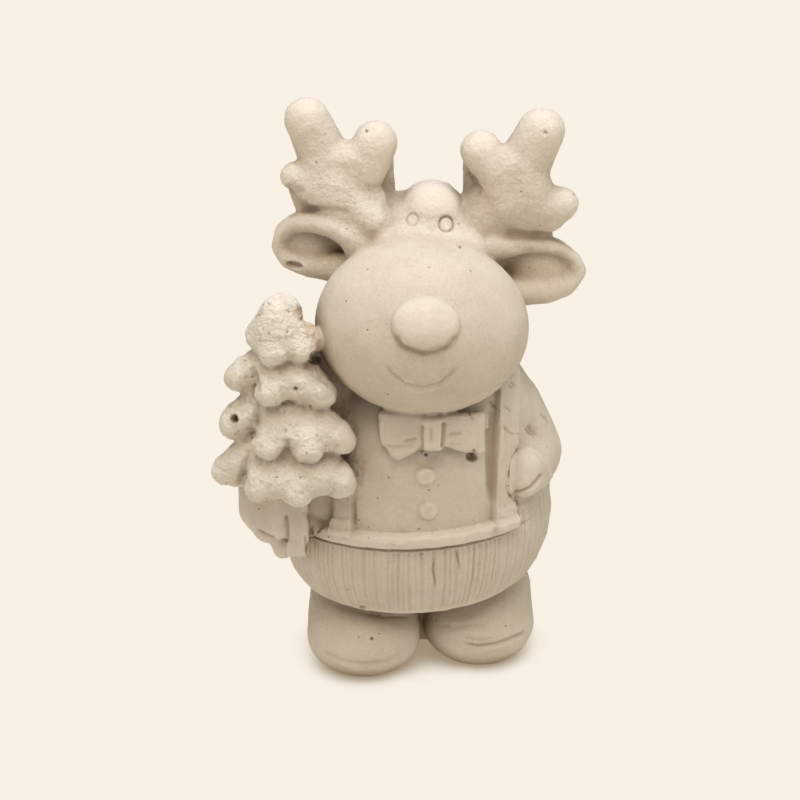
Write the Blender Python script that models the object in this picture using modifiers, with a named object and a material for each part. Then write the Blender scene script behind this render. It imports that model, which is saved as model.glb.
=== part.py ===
"""A cast plaster reindeer in ribbed trousers, belt, braces and bow tie, which holds a snowy fir tree.

The whole figure is one casting with a flat underside. It is laid out in units of a 142nd of its height,
which are millimetres at the real size. It looks along -Y, its tree is at -X, and it stands on z = 0.
"""

import math

import bmesh
import bpy
import numpy as np
from mathutils import Euler, Matrix, Vector

HEIGHT = 0.142  # metres, from the underside to the tip of the taller antler
NAME = "reindeer_figurine"

VOXEL = 0.8  # units, the size of the mesh that the masses are fused in
TRIANGLES = 9700
PLASTER_COLOUR = (0.80, 0.72, 0.61, 1.0)
PLASTER_ROUGHNESS = 0.85

# The shirt and trousers are one turned form, oval in plan: (radius across, height).
BELLY_PROFILE = (
    (0.0, 18.0), (20.0, 18.4), (26.0, 19.2), (28.8, 21.2), (31.0, 24.8), (32.8, 30.0), (33.5, 36.0),
    (33.0, 42.0), (32.2, 45.5), (31.6, 50.0), (30.8, 56.0), (29.8, 62.0), (28.0, 68.0), (25.0, 73.5),
    (20.0, 78.5), (12.0, 82.5), (0.0, 84.0),
)
BELLY_DEPTH = 0.88  # its depth as a share of its width
BELLY_X = -0.8
TROUSER_SLOPE = 0.05  # the belt and the hem rise this much a unit, away from the tree

BELLY_SKIN = (1.6, 2.4)  # relief on the turned form is full this near its surface, and ends this far from it

BELT_LOW, BELT_HIGH = 40.6, 43.1
BELT_OUT = 1.5
BELT_BEVEL = 1.4  # the height of the slope over the belt
GROOVE_DEPTH, GROOVE_WIDTH = 0.6, 0.8  # the groove under the belt
BRACE_X = 18.2  # the brace on the tree's side
BRACE_HALF_WIDTH = 2.5
BRACE_OUT = 1.5
BRACE_CROSSING = 62.0  # the height at which the braces cross on the back
CLIP_OUT, CLIP_HEIGHT = 0.5, 3.5
BUTTONS = ((1.7, 59.1), (2.0, 50.4))
BUTTON_RADIUS = 2.1
BUTTON_OUT = 0.9
VIEW_TILT = math.radians(25)  # the eyes are round when seen from this much above the front
EYES = (((-1.9, 101.6), 1.5), ((6.3, 100.8), 1.8))  # (across, height as seen from there) and radius
EYE_OUT, EYE_RING = 0.3, 0.45
MUZZLE_CENTRE, MUZZLE_RADII = (0.6, -15.0, 92.0), (25.2, 21.5, 20.8)
SMILE_LOWEST, SMILE_CURVE, SMILE_DEPTH = 84.4, 0.055, 0.6
SMILE_FROM, SMILE_TO = -8.0, 9.0
SHIRT_FRONT, MUZZLE_FRONT, TOES_FRONT = -15.0, -25.0, -2.0  # the buttons, smile and toes lie before these
TOES_TOP = 14.0
BOOTS_MIDDLE = 0.8
SOLE_HEIGHTS = (0.3, 4.4)  # of the groove round each toe, where y is 0: the tree's side, the other side
SOLE_SLOPE, SOLE_DEPTH = -0.25, 0.5


def clear_scene():
    for old in list(bpy.data.objects):
        bpy.data.objects.remove(old)


def ball(centre, radii, turn=(0, 0, 0)):
    """An ellipsoid, turned by degrees about its own X, Y and Z."""
    if not hasattr(radii, "__len__"):
        radii = (radii, radii, radii)
    rotation = Euler([math.radians(a) for a in turn]).to_matrix().to_4x4()
    place = Matrix.Translation(Vector(centre)) @ rotation @ Matrix.Diagonal((*radii, 1))
    shape = bmesh.new()
    bmesh.ops.create_icosphere(shape, subdivisions=4, radius=1, matrix=place)
    return shape


def hull(*balls):
    """The skin stretched round several (centre, radii) balls."""
    shape = bmesh.new()
    for centre, radii in balls:
        radii = radii if hasattr(radii, "__len__") else (radii, radii, radii)
        place = Matrix.Translation(Vector(centre)) @ Matrix.Diagonal((*radii, 1))
        bmesh.ops.create_icosphere(shape, subdivisions=3, radius=1, matrix=place)
    made = bmesh.ops.convex_hull(shape, input=shape.verts)
    left_over = made["geom_interior"] + made["geom_unused"]
    inside = {item for item in left_over if isinstance(item, bmesh.types.BMVert)}
    bmesh.ops.delete(shape, geom=list(inside), context="VERTS")
    return shape


def limb(*balls):
    """A rounded limb that runs through (centre, radii) balls in turn."""
    return [hull(first, second) for first, second in zip(balls, balls[1:])]


def turned(profile, depth, centre_x, slope):
    """A profile of (radius, height) turned about Z, oval in plan, and sheared to rise with X."""
    shape = bmesh.new()
    points = [shape.verts.new((radius, 0, height)) for radius, height in profile]
    edges = [shape.edges.new(pair) for pair in zip(points, points[1:])]
    bmesh.ops.spin(shape, geom=points + edges, axis=(0, 0, 1), cent=(0, 0, 0), angle=math.tau, steps=72)
    bmesh.ops.remove_doubles(shape, verts=shape.verts, dist=1e-4)
    bmesh.ops.recalc_face_normals(shape, faces=shape.faces)
    shear = Matrix(((1, 0, 0, centre_x), (0, depth, 0, 0), (slope, 0, 1, 0), (0, 0, 0, 1)))
    bmesh.ops.transform(shape, matrix=shear, verts=shape.verts)
    return shape


def evaluated_mesh(source):
    graph = bpy.context.evaluated_depsgraph_get()
    return bpy.data.meshes.new_from_object(source.evaluated_get(graph))


def joined_mesh(shapes):
    """One mesh that holds every bmesh or mesh in the list."""
    whole = bmesh.new()
    for shape in shapes:
        if isinstance(shape, bmesh.types.BMesh):
            mesh = bpy.data.meshes.new("shape")
            shape.to_mesh(mesh)
        else:
            mesh = shape
        whole.from_mesh(mesh)
    mesh = bpy.data.meshes.new("masses")
    whole.to_mesh(mesh)
    return mesh


def fused(shapes, voxel, soften):
    """The shapes melted into one skin, with creases rounded to about the given radius."""
    lump = bpy.data.objects.new("lump", joined_mesh(shapes))
    bpy.context.scene.collection.objects.link(lump)
    remesh = lump.modifiers.new("fuse", "REMESH")
    remesh.mode = "VOXEL"
    remesh.voxel_size = voxel
    smooth = lump.modifiers.new("soften", "SMOOTH")
    smooth.factor = 0.5
    smooth.iterations = max(1, round(4 * (soften / voxel) ** 2))
    mesh = evaluated_mesh(lump)
    bpy.data.objects.remove(lump)
    return mesh


def head_masses():
    skull = ball((1.0, 3.0, 102.0), (19.5, 15.0, 16.5))
    crown = ball((2.9, 1.5, 111.6), (9.0, 9.0, 10.0))
    brow = ball((1.5, -5.5, 106.3), (15.0, 12.0, 8.6))
    jaw = ball((1.0, 1.0, 90.0), (18.5, 15.0, 16.0))
    return [skull, crown, brow, jaw, *antler_masses(), *ear_masses()]


def antler_masses():
    """Two broad antlers, each with three blunt tines and a thin web that joins it to the head."""
    left = [ball((-18.5, 2.5, 120.5), (10.0, 6.0, 8.5), (0, 20, 0))]
    left += limb(((-9.0, 3.0, 110.5), 6.8), ((-18.5, 2.5, 119.5), 7.0))
    left += limb(((-21.0, 2.6, 124.0), 6.2), ((-26.4, 2.5, 136.7), 5.4))
    left += limb(((-18.0, 1.5, 120.0), 6.6), ((-12.6, 0.2, 125.2), 5.0), ((-10.4, 1.6, 131.3), 5.3))
    left += limb(((-20.5, 1.5, 119.8), 6.2), ((-29.3, -0.5, 123.7), 3.5))
    left.append(hull(((-23.6, 1.0, 127.2), 4.8), ((-14.0, 0.4, 127.2), 4.8), ((-18.0, 0.2, 120.0), 5.4),
                     ((-24.4, 0.4, 122.0), 4.8)))
    left += limb(((-9.4, 6.6, 129.0), 3.0), ((-8.4, 6.4, 119.0), 2.8))
    left.append(hull(((-29.2, 2.2, 119.4), 2.1), ((-26.4, 2.4, 113.4), 2.6), ((-14.0, 1.4, 116.0), 4.8),
                     ((-12.0, 1.6, 107.0), 4.8)))
    right = [ball((22.3, 2.5, 118.5), (9.4, 6.0, 9.5), (0, -15, 0))]
    right += limb(((11.0, 3.0, 108.0), 7.0), ((21.0, 2.5, 117.5), 7.4))
    right += limb(((22.0, 2.8, 120.0), 7.0), ((28.6, 2.5, 133.8), 5.6))
    right += limb(((20.8, 1.5, 119.0), 6.8), ((18.2, 0.4, 124.5), 4.9), ((14.4, 1.8, 129.2), 5.0))
    right.append(hull(((22.0, 1.5, 115.5), 6.2), ((33.7, -0.6, 116.8), 4.0), ((30.4, 0.2, 113.4), 4.0)))
    right.append(hull(((24.6, 1.0, 126.4), 5.0), ((18.4, 0.6, 126.0), 4.6), ((20.8, 0.2, 117.5), 5.8),
                      ((27.0, 0.2, 119.0), 5.0)))
    right += limb(((13.2, 6.4, 127.5), 2.9), ((12.9, 6.4, 114.0), 2.7))
    right.append(hull(((28.0, 2.4, 111.5), 3.2), ((28.9, 2.4, 108.0), 3.0), ((15.0, 1.6, 112.0), 4.8),
                      ((14.0, 1.6, 103.0), 4.8)))
    return left + right


def ear_masses():
    """Two ears that point sideways, each with a thick rim round a pocket that is open at the front."""
    left = [ball((-25.0, 3.0, 106.3), (10.0, 4.6, 6.4), (0, 9, 0))]
    left.append(ball((-19.0, 3.0, 101.5), (5.5, 4.5, 4.6)))
    left += limb(((-33.4, 0.4, 105.4), 2.0), ((-32.4, 0.0, 108.8), 2.1), ((-29.6, -0.4, 111.0), 2.3),
                 ((-25.2, -1.0, 111.6), 2.6), ((-20.4, -2.0, 111.0), 2.8), ((-16.6, -3.6, 109.6), 3.2),
                 ((-13.6, -5.0, 107.0), 4.0))
    left += limb(((-33.4, 0.4, 105.4), 2.0), ((-30.9, -0.6, 102.6), 2.5), ((-26.2, -1.8, 101.8), 3.0),
                 ((-20.7, -3.0, 101.6), 3.6), ((-15.0, -5.0, 102.0), 4.0))
    right = [ball((29.0, 3.2, 99.8), (11.0, 4.4, 7.4), (0, 17, 0))]
    right.append(ball((23.0, 3.0, 95.5), (5.5, 4.5, 4.6)))
    right += limb(((17.0, -3.6, 106.4), 4.2), ((24.4, -1.8, 106.4), 2.9), ((29.7, -1.4, 106.0), 2.4),
                  ((33.8, -0.8, 104.8), 1.9), ((36.8, -0.2, 102.6), 1.8), ((38.0, 0.4, 99.2), 2.1))
    right += limb(((20.0, -3.6, 96.4), 4.2), ((25.0, -2.4, 96.2), 4.2), ((30.4, -1.8, 96.4), 4.0),
                  ((34.6, -1.0, 97.2), 3.5), ((38.0, 0.4, 99.2), 2.1))
    return left + right


def body_masses():
    shapes = [turned(BELLY_PROFILE, BELLY_DEPTH, BELLY_X, TROUSER_SLOPE)]
    shapes += limb(((20.3, 1.0, 62.6), 10.0), ((24.8, -2.0, 53.2), 10.1), ((25.2, -13.0, 54.4), 6.6))
    shapes += limb(((-20.3, 1.0, 62.6), 10.0), ((-30.0, -5.0, 52.0), 9.5), ((-36.5, -14.0, 46.5), 7.2))
    fist = hull(((25.4, -16.0, 56.2), (5.0, 4.6, 4.8)), ((24.6, -18.0, 52.6), (4.6, 3.6, 4.0)),
                ((28.6, -14.0, 52.4), (3.6, 3.2, 3.4)))
    return [*shapes, fist, *boot_masses(), *web_masses()]


def boot_masses():
    """Two round-toed boots that lean together, the one on the tree's side a step ahead."""
    shapes = []
    for x, toe_y, radius in ((-13.6, -11.5, 14.1), (14.9, -5.6, 13.9)):
        toe = ((x, toe_y, 7.5), (radius, 13.0, 10.0))
        ankle = ((x, 1.0, 13.0), (radius - 0.6, 13.0, 13.0))
        heel = ((x, 6.0, 7.5), (radius - 1.5, 11.0, 10.0))
        shapes.append(hull(toe, ankle, heel))
    shapes += limb(((-10.0, 3.5, 5.0), 9.0), ((10.0, 3.5, 5.0), 9.0))
    shapes += limb(((-8.0, 2.0, 14.0), 9.0), ((8.0, 2.0, 14.0), 9.0))
    return shapes


def web_masses():
    """The thick wall of plaster between the tree and the muzzle, the arm and the belly."""
    upper = hull(((-28.0, -15.0, 85.0), 4.5), ((-18.0, -9.0, 84.0), 5.0), ((-19.0, -10.0, 72.0), 6.0),
                 ((-30.0, -15.0, 72.0), 6.0))
    lower = hull(((-19.0, -10.0, 72.0), 6.0), ((-30.0, -15.0, 72.0), 6.0), ((-17.0, -13.0, 55.0), 8.0),
                 ((-33.0, -15.0, 50.0), 7.0), ((-22.0, -15.5, 47.0), 7.0), ((-30.0, -18.0, 45.0), 5.0))
    return [upper, lower]


def hand_masses():
    """The hand whose fingers lie along the tree's trunk."""
    palm = hull(((-39.6, -17.0, 50.0), 4.0), ((-39.2, -17.5, 44.4), 4.2), ((-33.6, -22.9, 50.5), 3.2),
                ((-33.4, -23.1, 43.0), 3.0), ((-36.6, -19.5, 40.6), 3.2))
    return [palm, *limb(((-33.6, -20.5, 40.0), 3.0), ((-32.8, -20.8, 35.8), 2.4))]


def petals(apex, *tips):
    """Drooping branches that spread from one (centre, radius) ball to a ball at each tip."""
    return [hull(apex, tip) for tip in tips]


def tree_masses():
    """Four tiers of drooping, snow-laden branches round a short square trunk."""
    shapes = limb(((-32.5, -21.5, 96.0), 4.0), ((-31.5, -20.0, 58.0), (10.0, 6.5, 6.0)))
    corners = [(x, y, z) for x in (-30.8, -27.6) for y in (-25.0, -18.0) for z in (37.0, 56.0)]
    shapes.append(hull(*((corner, 1.1) for corner in corners)))
    shapes.append(hull(((-33.2, -22.5, 98.2), (3.8, 4.2, 4.2)), ((-36.6, -22.3, 92.6), 4.0),
                       ((-34.4, -25.4, 91.4), 3.8), ((-28.2, -24.4, 91.6), 4.0)))
    shapes += petals(((-32.0, -24.0, 95.0), 4.0), ((-34.0, -26.2, 90.4), 3.8), ((-27.8, -25.0, 90.9), 3.9),
                     ((-25.2, -22.0, 91.4), 3.2))
    shapes += petals(((-36.0, -22.0, 85.5), 4.4), ((-42.3, -22.0, 81.8), 3.5))
    shapes.append(hull(((-32.0, -21.5, 86.5), 4.4), ((-34.8, -26.6, 81.8), 3.8), ((-28.6, -25.6, 82.4), 4.0)))
    shapes += petals(((-31.6, -23.5, 84.5), 4.2), ((-34.8, -27.4, 80.9), 3.9))
    shapes.append(hull(((-31.0, -21.5, 86.5), 4.4), ((-28.4, -26.0, 82.0), 4.2), ((-23.1, -24.8, 78.8), 3.8)))
    shapes += petals(((-36.0, -22.5, 75.0), 5.4), ((-43.4, -22.3, 70.4), 4.2))
    shapes.append(hull(((-31.8, -21.5, 76.0), 4.8), ((-35.2, -27.8, 69.0), 4.2), ((-26.6, -28.8, 69.4), 4.2),
                       ((-19.2, -26.4, 68.8), 3.8)))
    shapes += petals(((-31.0, -24.5, 72.5), 4.4), ((-35.2, -29.0, 67.7), 3.9), ((-26.2, -30.0, 67.9), 4.0),
                     ((-18.6, -26.6, 67.7), 3.8))
    shapes += petals(((-37.0, -23.0, 63.5), 6.0), ((-45.4, -22.3, 57.8), 4.1))
    shapes.append(hull(((-31.8, -22.0, 66.0), 5.6), ((-37.2, -28.9, 58.6), 4.3), ((-28.9, -30.4, 58.6), 4.3),
                       ((-19.2, -28.0, 58.8), 4.1)))
    shapes += petals(((-30.5, -25.0, 62.5), 5.0), ((-37.7, -29.8, 57.2), 4.0), ((-28.7, -31.4, 56.9), 4.2),
                     ((-18.7, -28.6, 57.8), 4.0))
    return shapes + tree_back_masses()


def tree_back_masses():
    """The branches on the hidden side of the tree, plainer than those at the front."""
    shapes = []
    for height, reach, radius in ((92.0, 3.0, 4.2), (81.0, 7.0, 4.2), (70.0, 9.0, 4.4), (58.5, 11.0, 4.4)):
        for angle in (78, 124, 170):
            turn = math.radians(angle)
            tip = (-32.0 - reach * math.sin(turn), -19.0 - reach * math.cos(turn), height - 1.0)
            shapes.append(hull(((-31.8, -20.5, height + 6.0), radius), (tip, radius)))
    return shapes


def bow_tie():
    left = hull(((-8.4, -23.4, 72.5), 1.5), ((-7.4, -25.6, 66.8), 1.5), ((-5.0, -26.8, 64.2), 1.4),
                ((0.6, -27.6, 67.8), 1.3), ((0.6, -26.0, 72.6), 1.3))
    right = hull(((5.4, -26.0, 72.6), 1.3), ((5.4, -27.6, 68.0), 1.3), ((10.6, -26.4, 65.8), 1.4),
                 ((14.2, -24.6, 64.9), 1.4), ((14.2, -23.0, 72.0), 1.5))
    knot = hull(((1.9, -28.0, 67.5), 1.9), ((4.3, -28.0, 67.5), 1.9), ((1.9, -26.6, 72.0), 1.9),
                ((4.3, -26.6, 72.0), 1.9))
    return [left, right, knot]


def whole_figure(voxel):
    """The fused figure, before its surface is carved."""
    head = fused(head_masses(), voxel, 1.2)
    body = fused(body_masses(), voxel, 0.9)
    tree = fused(tree_masses(), voxel, 0.8)
    muzzle = ball(MUZZLE_CENTRE, MUZZLE_RADII, (0, 4, 0))
    nose = ball((1.3, -34.0, 100.5), (7.9, 3.7, 6.5), (-33, 3, 0))
    return fused([head, body, tree, muzzle, nose, *hand_masses(), *bow_tie()], voxel, 0.6)


def step(value, low, high):
    """0 below low, 1 above high, smooth between."""
    share = np.clip((value - low) / (high - low), 0, 1)
    return share * share * (3 - 2 * share)


def band(value, low, high, edge):
    """1 between low and high, falling to 0 over the edge's width on both sides."""
    return step(value, low - edge / 2, low + edge / 2) * (1 - step(value, high - edge / 2, high + edge / 2))


def level(points):
    """Heights measured along the sloping belt and hem."""
    return points[:, 2] - TROUSER_SLOPE * (points[:, 0] - BELLY_X)


def on_belly(points):
    """1 for points that lie on the turned form, 0 for those on anything else."""
    radii, heights = np.array(BELLY_PROFILE).T
    expected = np.interp(level(points), heights, radii)
    radius = np.hypot(points[:, 0] - BELLY_X, points[:, 1] / BELLY_DEPTH)
    return 1 - step(np.abs(radius - expected), *BELLY_SKIN)


def belt(points):
    """A waistband with a sloping upper edge that stands out from the shirt, over a groove."""
    height = level(points)
    slope = 1 - np.clip((height - BELT_HIGH) / BELT_BEVEL, 0, 1)
    out = BELT_OUT * step(height, BELT_LOW - 0.4, BELT_LOW + 0.4) * slope
    groove = -GROOVE_DEPTH * band(height, BELT_LOW - 0.1 - GROOVE_WIDTH, BELT_LOW - 0.1, 0.7)
    return on_belly(points) * (out + groove)


def braces(points):
    """Two straps up the front, crossed at the back, with a clip at the waistband."""
    x, y, z = points.T
    far_x = np.interp(z, (44, 76), (20.0, 20.8))
    behind_tree = 9 * step(z, 56, 60)  # the brace on the tree's side ends at the wall beside the tree
    in_front = np.minimum(np.abs(x + BRACE_X) + behind_tree, np.abs(x - far_x))
    crossed = np.minimum(np.abs(x - (z - BRACE_CROSSING)), np.abs(x + (z - BRACE_CROSSING)))
    apart = np.where(y < 0, in_front, crossed)
    strap = 1 - step(apart, BRACE_HALF_WIDTH - 0.5, BRACE_HALF_WIDTH + 0.5)
    clip = CLIP_OUT * band(level(points), BELT_HIGH, BELT_HIGH + CLIP_HEIGHT, 0.8)
    return strap * (BRACE_OUT + clip) * band(z, BELT_HIGH - 1, 79, 1.5) * on_belly(points)


def buttons(points):
    raised = np.zeros(len(points))
    for x, z in BUTTONS:
        apart = np.hypot(points[:, 0] - x, points[:, 2] - z)
        raised += BUTTON_OUT * (1 - step(apart, BUTTON_RADIUS - 0.5, BUTTON_RADIUS + 0.5))
    return raised * (points[:, 1] < SHIRT_FRONT) * on_belly(points)


def eyes(points):
    """Two small low discs, each in a ring-shaped groove."""
    x, y, z = points.T
    seen_height = z * math.cos(VIEW_TILT) + y * math.sin(VIEW_TILT)
    raised = np.zeros(len(points))
    for (eye_x, eye_height), radius in EYES:
        apart = np.hypot(x - eye_x, seen_height - eye_height)
        disc = EYE_OUT * (1 - step(apart, radius - 0.6, radius + 0.1))
        raised += disc - EYE_RING * band(apart, radius, radius + 0.7, 0.5)
    return raised * (y < 0)


def smile(points):
    x, y, z = points.T
    curve = SMILE_LOWEST + SMILE_CURVE * (x - MUZZLE_CENTRE[0]) ** 2
    line = band(z - curve, -0.5, 0.5, 0.7) * band(x, SMILE_FROM, SMILE_TO, 2.0)
    return -SMILE_DEPTH * line * (y < MUZZLE_FRONT)


def soles(points):
    """A groove round each toe, higher on the boot away from the tree."""
    x, y, z = points.T
    height = np.where(x < 0, *SOLE_HEIGHTS) + SOLE_SLOPE * y
    on_toe = (y < TOES_FRONT) * (z < TOES_TOP) * step(np.abs(x - BOOTS_MIDDLE), 2, 5)
    return -SOLE_DEPTH * band(z - height, -0.5, 0.5, 0.8) * on_toe


CARVINGS = (belt, braces, buttons, eyes, smile, soles)


def carve(mesh):
    """Moves the surface along its normals by the sum of every carving."""
    points = np.empty(len(mesh.vertices) * 3, np.float32)
    mesh.vertices.foreach_get("co", points)
    points = points.reshape(-1, 3).astype(float)
    normals = np.empty(len(mesh.vertices) * 3, np.float32)
    mesh.vertex_normals.foreach_get("vector", normals)
    raised = sum(carving(points) for carving in CARVINGS)
    points += normals.reshape(-1, 3) * raised[:, None]
    mesh.vertices.foreach_set("co", points.astype(np.float32).ravel())
    mesh.update()


def thinned(mesh, triangles):
    """The mesh with no more than this many triangles, fewest where it is smooth."""
    mesh.calc_loop_triangles()
    fine = bpy.data.objects.new("fine", mesh)
    bpy.context.scene.collection.objects.link(fine)
    decimate = fine.modifiers.new("thin", "DECIMATE")
    decimate.use_collapse_triangulate = True
    decimate.ratio = triangles / len(mesh.loop_triangles)
    coarse = evaluated_mesh(fine)
    bpy.data.objects.remove(fine)
    return coarse


def cut_flat(mesh):
    """Cuts the underside off at z = 0 and closes it with one flat face."""
    shape = bmesh.new()
    shape.from_mesh(mesh)
    bmesh.ops.bisect_plane(shape, geom=shape.verts[:] + shape.edges[:] + shape.faces[:], dist=0.02,
                           plane_co=(0, 0, 0), plane_no=(0, 0, 1), clear_inner=True)
    rim = [edge for edge in shape.edges if edge.is_boundary]
    for point in {point for edge in rim for point in edge.verts}:
        point.co.z = 0
    bmesh.ops.holes_fill(shape, edges=rim, sides=0)
    bmesh.ops.recalc_face_normals(shape, faces=shape.faces)
    shape.to_mesh(mesh)


def centred(mesh):
    """Scales the mesh to its height in metres, with the middle of its box over the origin."""
    points = np.empty(len(mesh.vertices) * 3, np.float32)
    mesh.vertices.foreach_get("co", points)
    low, high = points.reshape(-1, 3).min(axis=0), points.reshape(-1, 3).max(axis=0)
    middle = (low + high) / 2
    mesh.transform(Matrix.Scale(HEIGHT / high[2], 4) @ Matrix.Translation((-middle[0], -middle[1], 0)))


def plaster():
    material = bpy.data.materials.new("plaster")
    material.use_nodes = True
    shader = material.node_tree.nodes["Principled BSDF"]
    shader.inputs["Base Color"].default_value = PLASTER_COLOUR
    shader.inputs["Roughness"].default_value = PLASTER_ROUGHNESS
    return material


def main():
    clear_scene()
    figure = whole_figure(VOXEL)
    carve(figure)
    figure = thinned(figure, TRIANGLES)
    cut_flat(figure)
    centred(figure)
    figure.materials.append(plaster())
    collection = bpy.data.collections.new("deer_figurine")
    bpy.context.scene.collection.children.link(collection)
    collection.objects.link(bpy.data.objects.new(NAME, figure))


if __name__ == "__main__":
    main()
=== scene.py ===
"""The look of a cast plaster reindeer that holds a fir tree, on a plain pale floor.

The figure is laid out in millimetres, looking along -Y, with its tree at -X and its underside at z = 0. Its
masses are fused, its carving is pressed into the fused skin, and it is then set in the frame. Marks that are
placed by a pixel of the photograph lie on whatever part of the skin shows at that pixel.
"""

import itertools
import math

import bmesh
import bpy
import numpy as np
from mathutils import Euler, Matrix, Vector


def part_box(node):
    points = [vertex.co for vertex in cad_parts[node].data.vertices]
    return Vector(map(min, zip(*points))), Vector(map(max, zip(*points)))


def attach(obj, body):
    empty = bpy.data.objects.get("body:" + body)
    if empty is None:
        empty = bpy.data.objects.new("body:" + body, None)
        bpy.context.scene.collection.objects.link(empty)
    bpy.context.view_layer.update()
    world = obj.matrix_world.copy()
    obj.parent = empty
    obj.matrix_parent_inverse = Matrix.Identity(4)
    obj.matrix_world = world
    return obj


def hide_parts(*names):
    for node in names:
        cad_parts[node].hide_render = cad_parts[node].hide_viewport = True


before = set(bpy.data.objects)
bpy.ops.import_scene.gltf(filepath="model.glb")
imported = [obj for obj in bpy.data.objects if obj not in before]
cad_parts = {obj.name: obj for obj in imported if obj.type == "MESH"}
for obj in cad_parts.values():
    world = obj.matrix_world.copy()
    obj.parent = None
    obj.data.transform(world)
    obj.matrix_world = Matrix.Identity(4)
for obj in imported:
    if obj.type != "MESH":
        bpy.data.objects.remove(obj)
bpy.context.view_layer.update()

NODE = "reindeer_figurine"

VOXEL = 0.3  # the size of the mesh that the masses are fused in
TRIANGLES = 190_000

# The camera looks down on the figure from the front.
VIEW_TILT = math.radians(25)
CAMERA_DISTANCE = 750.0
CAMERA_TARGET = np.array((-4.6, 0.0, 65.6))
FOCAL_PIXELS = 3090.0
FRAME_PIXELS = 800
SENSOR = 36.0

# The shirt and trousers are one turned form, oval in plan: (radius across, height).
BELLY_PROFILE = (
    (0.0, 18.0), (20.0, 18.4), (26.0, 19.2), (28.8, 21.2), (31.0, 24.8), (32.8, 30.0), (33.5, 36.0),
    (33.0, 42.0), (32.2, 45.5), (31.6, 50.0), (30.8, 56.0), (29.8, 62.0), (28.0, 68.0), (25.0, 73.5),
    (20.0, 78.5), (12.0, 82.5), (0.0, 84.0),
)
BELLY_DEPTH = 0.88  # its depth as a share of its width
BELLY_X = -0.8
TROUSER_SLOPE = 0.05  # the belt and the hem rise this much a millimetre, away from the tree
HEM = 20.4
RIB_PITCH = math.radians(5)
RIB_RADIUS = max(radius for radius, height in BELLY_PROFILE)
RIB_GROOVE, RIB_GROOVE_WIDTH, RIB_CROWN, RIB_STREAKS = 0.6, 0.36, 0.24, 0.10
RIB_RISE = 6.0  # how much higher the ribs reach beyond the belt's end

BELT_LOW, BELT_HIGH = 40.6, 43.2
BELT_OUT, BELT_BEVEL = 1.5, 1.2
BELT_GROOVE, BELT_RIM = 0.6, 0.25
BELT_END = (23.2, 24.4)
BRACE_HALF_WIDTH, BRACE_OUT, BRACE_EDGE, BRACE_CLIP = 2.5, 1.5, 0.3, 0.6
LEFT_BRACE_X = -18.2
RIGHT_BRACE_X, RIGHT_BRACE_Z = (20.0, 20.8), (44, 76)
BRACE_CROSSING, BRACE_TOP = 62, 79
BUTTONS = ((1.5, 58.3), (2.2, 49.7))
BUTTON_RADIUS, BUTTON_OUT = 2.3, 0.75
MUZZLE_CENTRE, MUZZLE_RADII, MUZZLE_TURN = (0.6, -15.0, 92.0), (25.2, 21.5, 20.8), (0, 4, 0)

TREE_MIDDLE = (-31.5, -21)
TREE_REACH = ((50, 17.5), (60, 17.5), (100, 8), (104, 5.5))  # (height, how far its branches reach)

# How far the plaster's roughness rises: everywhere, on the antlers, and on the tree.
EVEN_LUMPS, EVEN_GRAIN = 0.15, 0.04
ANTLER_LUMPS, ANTLER_GRAIN = 0.10, 0.04
CRUST_LUMPS, CRUST_GRAIN, CRUST_PITS = 0.28, 0.13, 0.4

PLASTER = (0.50, 0.42, 0.317, 1)
TINTS = {
    "pale_mottle": (0.55, 0.47, 0.364, 1),
    "patch": (0.46, 0.375, 0.27, 1),
    "dark_speckle": (0.38, 0.30, 0.205, 1),
    "pale_speckle": (0.68, 0.60, 0.485, 1),
    # Painted light, on the clothes, the belt's upper edge and surfaces that face the light.
    "painted_light_tint": (0.70, 0.625, 0.515, 1),
    "tree": (0.70, 0.62, 0.495, 1),
    # Painted shade and painted light on the grain's hollows and crests.
    "grain_hollow_shade": (0.35, 0.265, 0.17, 1),
    "grain_crest_light": (0.70, 0.62, 0.50, 1),
    # Painted shade in creases, grooves and valleys, and painted light on ridges and edges.
    "crease": (0.29, 0.215, 0.13, 1),
    "valley": (0.32, 0.24, 0.155, 1),
    "ridge_light": (0.70, 0.61, 0.49, 1),
    "tree_valley_shade": (0.31, 0.235, 0.15, 1),
    "tree_ridge_light": (0.76, 0.685, 0.56, 1),
    "sharp_edge_light": (0.70, 0.62, 0.50, 1),
    # Painted shade where nearby surfaces hide the light.
    "shaded": (0.27, 0.195, 0.115, 1),
    # Brown stains, and painted shade over the left hand and under the bow tie.
    "stain_and_shade": (0.50, 0.31, 0.155, 1),
    # Painted shade in the pinholes.
    "pinhole_shade": (0.22, 0.15, 0.08, 1),
}
# The floor's painted contact shadow: its colour and reach.
FLOOR_SHADE, FLOOR_SHADE_REACH = (0.35, 0.27, 0.18, 1), 0.013
FLOOR_COLOUR = (0.947, 0.880, 0.776, 1.0)
SHADE_REACH = 0.009  # metres, how far off a surface still darkens another with painted shade


def ball(centre, radii, turn=(0, 0, 0)):
    """An ellipsoid, turned by degrees about its own X, Y and Z."""
    if not hasattr(radii, "__len__"):
        radii = (radii, radii, radii)
    rotation = Euler([math.radians(a) for a in turn]).to_matrix().to_4x4()
    place = Matrix.Translation(Vector(centre)) @ rotation @ Matrix.Diagonal((*radii, 1))
    shape = bmesh.new()
    bmesh.ops.create_icosphere(shape, subdivisions=5, radius=1, matrix=place)
    return shape


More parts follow.
